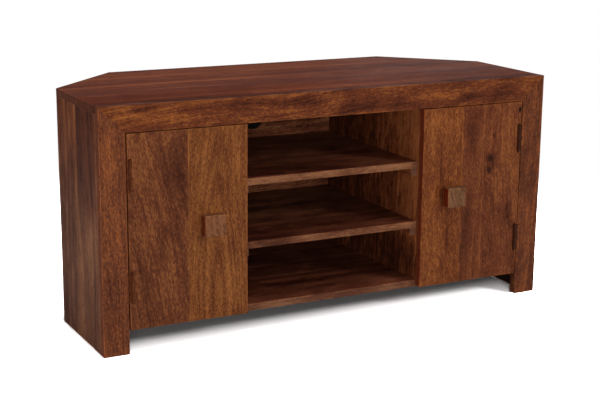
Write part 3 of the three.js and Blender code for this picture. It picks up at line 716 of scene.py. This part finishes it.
def outward_mesh(mesh):
    """Turns every closed skin's faces outwards."""
    working = bmesh.new()
    working.from_mesh(mesh)
    bmesh.ops.recalc_face_normals(working, faces=working.faces)
    working.to_mesh(mesh)
    working.free()


right_axis = (1, 0, 0)
back_axis = (0, 1, 0)
front_axis = (0, -1, 0)
up_axis = (0, 0, 1)

# Knobs: a square block of the same hardwood on each door, sawn with the grain upright, its arrises
# rounded, its face rubbed paler by hands and its sides painted darker and redder, a painted shade. It is
# screwed on from behind.
knob_corner = 0.0022
knob_arris = 0.0018
knob_tones = {
    "left": (colour(70, 38, 24), colour(110, 68, 43), colour(146, 98, 64)),
    "right": (colour(66, 40, 26), colour(98, 64, 42), colour(130, 92, 62)),
}
knob_side_shade_tones = {
    "left": (colour(78, 32, 17), colour(114, 54, 30), colour(144, 76, 44)),
    "right": (colour(60, 16, 5), colour(94, 28, 8), colour(126, 46, 18)),
}
for number, side in enumerate(("left", "right")):
    knob_low, knob_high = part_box(f"knob_{side}")
    knob_middle = (knob_low + knob_high) / 2
    knob_size = knob_high - knob_low
    knob_outline = rounded_outline(knob_size.x, knob_size.z, knob_corner)
    knob_back = (knob_middle.x, knob_high.y, knob_middle.z)
    knob_rings = eased_plate(knob_outline, knob_size.y, knob_arris, knob_back, right_axis, up_axis,
                             front_axis)
    # Painted shade on both sides of each knob.
    knob_shaded_sides = [("x", way, *edge_fade, knob_side_shade_tones[side]) for way in (-1, 1)]
    knob_wood = stained_wood(f"knob_{side}", "z", "x", knob_tones[side], 41 + number, pith=(0.03, -0.03),
                             lean=0.3, slant=0.3, ring=0.9, wear_and_highlight=0.6, faced=knob_shaded_sides)
    make_piece(f"knob_block_{side}", [skin(knob_rings)], knob_wood, f"door_{side}",
               [f"knob_{side}"])


# Metal: the hinges are steel in an antique bronze finish, rubbed brighter where it wears, the left
# pair warmer and the right pair a darker copy of the finish, a painted shade. The screws, strikes and
# pole plates are zinc plated.
def plated_metal(name, tint, worn_tint, roughness, wear, metallic, shine):
    """A metal whose plating is cloudy, and worn through in small patches."""
    material, shader, place = new_finish(name, Metallic=metallic, Specular_IOR_Level=shine)
    cloud = place.noise((90.0, 90.0, 90.0), (1.0, 2.0, 3.0), 3.0, 0.6)
    grit = place.noise((1400.0, 1400.0, 1400.0), (3.0, 1.0, 2.0), 2.0, 0.6)
    rubbed = (cloud * 0.6 + grit * 0.4).step(0.52, 0.66) * wear
    shade = rubbed.blend(tint, worn_tint)
    uneven = (grit - 0.5) * 0.3 + (cloud - 0.5) * 0.2 + roughness
    normal = grit.node("Bump", {}, {"Strength": 0.15, "Distance": 0.0001, "Height": grit})
    feed(shader, Base_Color=shade, Roughness=uneven, Normal=normal)
    return material


bronze_coat = (0.5, 0.4, 0.35, 0.15)
bronze = {
    "left": plated_metal("warm_bronze", (0.11, 0.027, 0.009, 1), (0.27, 0.095, 0.04, 1), *bronze_coat),
    # Painted shade: the right hinges' darker copy of the bronze.
    "right": plated_metal("bronze_painted_shade", (0.05, 0.014, 0.006, 1), (0.13, 0.05, 0.027, 1), *bronze_coat),
}
zinc = plated_metal("zinc_plate", (0.52, 0.52, 0.5, 1), (0.7, 0.7, 0.68, 1), 0.32, 0.6, 1.0, 0.5)


def slotted_screw(centre, axis, slot_line, radius, height, shank_radius=0.0, shank=0.0):
    """Skins of a slotted screw: a low round head, two half rounds on it with the slot between them,
    and below the head a shank that tapers to its point."""
    along = Vector(axis)
    first = Vector(slot_line)
    second = along.cross(first)
    middle = Vector(centre)
    low_head = [(radius * 0.86, 0.0), (radius, height * 0.15), (radius, height * 0.45)]
    skins = [skin(turned(low_head, middle, along, 32))]
    slot_angle = math.asin(0.14)
    arc = np.linspace(slot_angle, np.pi - slot_angle, 15)
    half_round = radius * np.stack([np.cos(arc), np.sin(arc)], axis=-1)
    for turn in (1, -1):
        rings = eased_plate(half_round, height * 0.57, height * 0.3, middle + along * (height * 0.43),
                            first * turn, second * turn, along, 4)
        skins.append(skin(rings))
    if shank:
        taper = [(shank_radius * 0.2, -shank), (shank_radius * 0.75, -shank * 0.88),
                 (shank_radius, -shank * 0.7), (shank_radius, height * 0.1)]
        skins.append(skin(turned(taper, middle, along, 24)))
    return skins


# Knob screws: a round headed zinc screw goes from behind through each door into its knob.
screw_head_height = 0.0028
screw_head_radius = 0.0044
screw_shank_radius = 0.0022
screw_turn = 0.6
for side in ("left", "right"):
    screw_low, screw_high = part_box(f"knob_screw_{side}")
    screw_middle = (screw_low + screw_high) / 2
    head_seat = (screw_middle.x, screw_high.y - screw_head_height, screw_middle.z)
    screw_length = screw_high.y - screw_low.y - screw_head_height
    slant = Vector((math.cos(screw_turn), 0.0, math.sin(screw_turn)))
    screw_skins = slotted_screw(head_seat, back_axis, slant, screw_head_radius, screw_head_height,
                                screw_shank_radius, screw_length)
    make_piece(f"knob_fixing_{side}", screw_skins, zinc, f"door_{side}",
               [f"knob_screw_{side}"])


# Butt hinges: on each, a cranked leaf on the post and one on the door, with five knuckles rolled
# round a pin that ends in small turned finials. Three low slotted screws hold each leaf.
side_signs = (("left", -1), ("right", 1))
hinge_length = 0.066
barrel_radius = 0.0042
leaf_thickness = 0.0012
leaf_gap = 0.0003
leaf_corner = 0.003
leaf_arris = 0.0002
barrel_to_leaf = 0.0003
knuckle_gap = 0.0003
knuckle_rim = 0.0003
knuckle_count = 5
pin_radius = 0.0019
knuckle_bore = pin_radius + 0.0001
knuckle_length = (hinge_length - (knuckle_count - 1) * knuckle_gap) / knuckle_count
leg_bend = 0.0004
leg_bend_middle = 0.0001
leaf_screw_count = 3
leaf_screw_radius = 0.0026
leaf_screw_height = 0.00032
screw_sunk = 0.0002
door_leg = 0.00665
post_leg = door_leg + leaf_thickness + leaf_gap
finial_shape = [(0.15, 1.0), (0.42, 0.9), (0.6, 0.72), (0.6, 0.62), (0.5, 0.5), (0.42, 0.42),
                (0.7, 0.38), (0.95, 0.32), (1.0, 0.24), (1.0, 0.08), (0.94, 0.0)]


def hinge_knuckles(centre, sign, first, leg_near):
    """The knuckles of one leaf, tubes with a softened rim, and the cranked legs that join them to
    the leaf."""
    bore = knuckle_bore
    rim = knuckle_rim
    arm = barrel_radius - leaf_thickness
    bone = leaf_thickness / 2
    leg_far = leg_near + leaf_thickness
    leg_end = barrel_radius + barrel_to_leaf + bone
    leg = np.array([(arm, -bone), (leg_far - leg_bend, -bone),
                    (leg_far - leg_bend_middle, -bone + leg_bend_middle), (leg_far, -bone + leg_bend),
                    (leg_far, leg_end), (leg_near, leg_end), (leg_near, bone), (arm, bone)])
    leg[:, 0] *= sign
    skins = []
    for index in range(first, knuckle_count, 2):
        start = index * (knuckle_length + knuckle_gap) - hinge_length / 2
        stop = start + knuckle_length
        wall = [(bore, start + rim), (bore + rim, start), (barrel_radius - rim, start),
                (barrel_radius, start + rim), (barrel_radius, stop - rim),
                (barrel_radius - rim, stop), (bore + rim, stop), (bore, stop - rim)]
        skins.append(skin(turned(wall, centre, up_axis), loop=True))
        height = np.array([start, stop])
        rings = np.zeros((2, len(leg), 3))
        rings[..., :2] = leg
        rings[..., 2] = height[:, None]
        skins.append(skin(rings + np.array(centre)))
    return skins


for side, sign in side_signs:
    for level in ("upper", "lower"):
        pin_node = f"hinge_pin_{side}_{level}"
        pin_low, pin_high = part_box(pin_node)
        pin_middle = (pin_low + pin_high) / 2
        shoulder = hinge_length / 2 + knuckle_gap
        finial_height = (pin_high.z - pin_low.z) / 2 - shoulder
        finial_radius = (pin_high.x - pin_low.x) / 2
        upper = [(r * finial_radius, shoulder + h * finial_height) for r, h in finial_shape]
        upper.append((pin_radius, shoulder))
        lower = [(r, -h) for r, h in reversed(upper)]
        pin_skin = skin(turned(upper + lower, pin_middle, up_axis))
        make_piece(f"hinge_pin_turned_{side}_{level}", [pin_skin], bronze[side], "carcass",
                   [pin_node])

        for part, first, leg_near, body in (
            ("door", 1, door_leg, f"door_{side}"),
            ("post", 0, post_leg, "carcass"),
        ):
            leaf_node = f"hinge_leaf_{part}_{side}_{level}"
            leaf_front = pin_middle.y + barrel_radius + barrel_to_leaf
            leaf_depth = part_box(leaf_node)[1].y - leaf_front
            leaf_x = pin_middle.x + sign * leg_near
            leaf_centre = (leaf_x, leaf_front + leaf_depth / 2, pin_middle.z)
            leaf_outline = rounded_outline(leaf_depth, hinge_length, leaf_corner, 6)
            leaf_rings = eased_plate(leaf_outline, leaf_thickness, leaf_arris, leaf_centre, back_axis,
                                     up_axis, (sign, 0, 0), 3)
            skins = hinge_knuckles(pin_middle, sign, first, leg_near)
            skins.append(skin(leaf_rings))
            make_piece(f"hinge_{part}_{side}_{level}", skins, bronze[side], body,
                       [leaf_node])

            screw_skins = []
            face_turn = sign if part == "door" else -sign
            screw_face = leaf_x + (sign * leaf_thickness if part == "door" else 0.0)
            for number in range(leaf_screw_count):
                screw_level = pin_middle.z + hinge_length * ((number + 0.5) / leaf_screw_count - 0.5)
                slot_turn = 0.5 + 1.1 * number + 0.7 * sign
                slant = Vector((0.0, math.cos(slot_turn), math.sin(slot_turn)))
                seat = (screw_face - face_turn * screw_sunk, leaf_centre[1], screw_level)
                screw_skins += slotted_screw(seat, (face_turn, 0, 0), slant, leaf_screw_radius,
                                             leaf_screw_height)
            make_piece(f"hinge_screws_{part}_{side}_{level}", screw_skins, bronze[side], body)


# Magnetic catches: a brown moulded case with two screwed ears on each partition holds a magnet
# between two steel pole plates, and they meet a steel strike screwed to the back of the door.
def moulded_plastic(name, tint, pale_tint, roughness):
    """A moulded plastic: an even colour, slightly cloudy, with a fine spark-eroded texture."""
    material, shader, place = new_finish(name, Specular_IOR_Level=0.35)
    cloud = place.noise((60.0, 60.0, 60.0), (2.0, 5.0, 1.0), 2.0)
    grit = place.noise((1900.0, 1900.0, 1900.0), (1.0, 4.0, 2.0), 1.0)
    shade = cloud.step(0.3, 0.7).blend(tint, pale_tint)
    uneven = (grit - 0.5) * 0.25 + (cloud - 0.5) * 0.15 + roughness
    normal = grit.node("Bump", {}, {"Strength": 0.25, "Distance": 0.0001, "Height": grit})
    feed(shader, Base_Color=shade, Roughness=uneven, Normal=normal)
    return material


brown_plastic = moulded_plastic("catch_case", colour(74, 50, 37), colour(88, 60, 44), 0.5)
black_plastic = moulded_plastic("grommet_black", colour(17, 16, 15), colour(27, 26, 25), 0.45)
ear_thickness = 0.0025
ear_corner = 0.003
ear_arris = 0.0004
ear_screw_radius = 0.0032
ear_screw_height = 0.0014
case_length = 0.027
case_corner = 0.0012
case_arris = 0.0009
pole_offset = 0.0028
pole_thickness = 0.0014
pole_length = case_length - 0.007
pole_corner = 0.0003
pole_arris = 0.0001
pole_root = 0.002
pole_proud = 0.00012
strike_corner = 0.002
strike_arris = 0.0002
strike_screw_radius = 0.0026
strike_screw_height = 0.00030
strike_screw_turn = 1.0
for side, sign in side_signs:
    catch_low, catch_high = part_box(f"magnetic_catch_{side}")
    catch_middle = (catch_low + catch_high) / 2
    catch_size = catch_high - catch_low
    catch_root = catch_low.x if sign > 0 else catch_high.x
    catch_base = (catch_root, catch_middle.y, catch_middle.z)
    outward = (sign, 0, 0)
    ears = eased_plate(rounded_outline(catch_size.y, catch_size.z, ear_corner), ear_thickness,
                       ear_arris, catch_base, back_axis, up_axis, outward)
    case = eased_plate(rounded_outline(catch_size.y, case_length, case_corner), catch_size.x,
                       case_arris, catch_base, back_axis, up_axis, outward)
    make_piece(f"catch_case_{side}", [skin(ears), skin(case)], brown_plastic, "carcass",
               [f"magnetic_catch_{side}"])
    ear_middle = (catch_size.z + case_length) / 4
    ear_skins = []
    for turn in (-1, 1):
        seat = (catch_root + sign * ear_thickness, catch_middle.y, catch_middle.z + turn * ear_middle)
        slant = Vector((0.0, math.cos(0.4 + turn), math.sin(0.4 + turn)))
        ear_skins += slotted_screw(seat, outward, slant, ear_screw_radius, ear_screw_height)
    make_piece(f"catch_screws_{side}", ear_skins, zinc, "carcass")

    pole_skins = []
    for turn in (-1, 1):
        pole_x = catch_middle.x + turn * pole_offset
        pole_seat = (pole_x, catch_low.y + pole_root, catch_middle.z)
        pole = eased_plate(rounded_outline(pole_thickness, pole_length, pole_corner, 3),
                           pole_root + pole_proud, pole_arris, pole_seat, right_axis, up_axis,
                           front_axis, 3)
        pole_skins.append(skin(pole))
    make_piece(f"catch_poles_{side}", pole_skins, zinc, "carcass")

    strike_low, strike_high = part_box(f"magnetic_strike_{side}")
    strike_middle = (strike_low + strike_high) / 2
    strike_size = strike_high - strike_low
    strike_base = (strike_middle.x, strike_low.y, strike_middle.z)
    strike = eased_plate(rounded_outline(strike_size.x, strike_size.z, strike_corner), strike_size.y,
                         strike_arris, strike_base, right_axis, up_axis, back_axis, 3)
    make_piece(f"strike_plate_{side}", [skin(strike)], zinc, f"door_{side}",
               [f"magnetic_strike_{side}"])
    strike_seat = (strike_middle.x, strike_high.y - screw_sunk, strike_middle.z)
    slant = Vector((math.cos(strike_screw_turn), 0.0, math.sin(strike_screw_turn)))
    strike_skins = slotted_screw(strike_seat, back_axis, slant, strike_screw_radius, strike_screw_height)
    make_piece(f"strike_screw_{side}", strike_skins, zinc, f"door_{side}")

# Cable grommet: a black moulded liner with a rounded flange lines the hole in the back panel, and a
# cap with a slot for the cables at its top clips into it.
liner_low, liner_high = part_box("cable_grommet_liner")
liner_middle = (liner_low + liner_high) / 2
flange_radius = (liner_high.x - liner_low.x) / 2
liner_wall_outer = 0.0278
liner_bore = 0.0258
flange_thickness = 0.0025
flange_round = [(0.0012, 0.0), (0.0006, 0.00016), (0.00016, 0.0006), (0.0, 0.0012)]
ledge_bore = liner_bore - 0.0022
ledge_front = 0.0032
ledge_back = 0.0052
liner_tail = liner_high.y - liner_low.y
edge = 0.0004
liner_profile = [
    (liner_bore, liner_tail - edge), (liner_bore, ledge_back), (ledge_bore, ledge_back),
    (ledge_bore, ledge_front), (liner_bore, ledge_front), (liner_bore, edge), (liner_bore + edge, 0.0),
    *((flange_radius - cut, rise) for cut, rise in flange_round),
    (flange_radius, flange_thickness), (liner_wall_outer, flange_thickness),
    (liner_wall_outer, liner_tail - edge), (liner_wall_outer - edge, liner_tail),
    (liner_bore + edge, liner_tail),
]
liner_front = (liner_middle.x, liner_low.y, liner_middle.z)
liner_skin = skin(turned(liner_profile, liner_front, back_axis, 96), loop=True)
make_piece("grommet_liner_moulded", [liner_skin], black_plastic, "carcass",
           ["cable_grommet_liner"])

cap_low, cap_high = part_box("cable_grommet_cap")
cap_radius = (cap_high.x - cap_low.x) / 2
cap_arris = 0.0004
slot_half = 0.009
slot_depth = 0.014
slot_reach = math.asin(slot_half / cap_radius)
rim_angle = np.linspace(math.pi / 2 + slot_reach, 5 * math.pi / 2 - slot_reach, 90)
rim = cap_radius * np.stack([np.cos(rim_angle), np.sin(rim_angle)], axis=-1)
slot_middle = cap_radius - slot_depth + slot_half
slot_angle = np.linspace(0.0, -math.pi, 24)
slot_x = slot_half * np.cos(slot_angle)
slot_z = slot_middle + slot_half * np.sin(slot_angle)
cap_outline = np.concatenate([rim, np.stack([slot_x, slot_z], axis=-1)])
cap_base = (liner_middle.x, cap_high.y, liner_middle.z)
cap_rings = eased_plate(cap_outline, cap_high.y - cap_low.y, cap_arris, cap_base, right_axis,
                        up_axis, front_axis, 4)
make_piece("grommet_cap_moulded", [skin(cap_rings)], black_plastic, "carcass",
           ["cable_grommet_cap"])
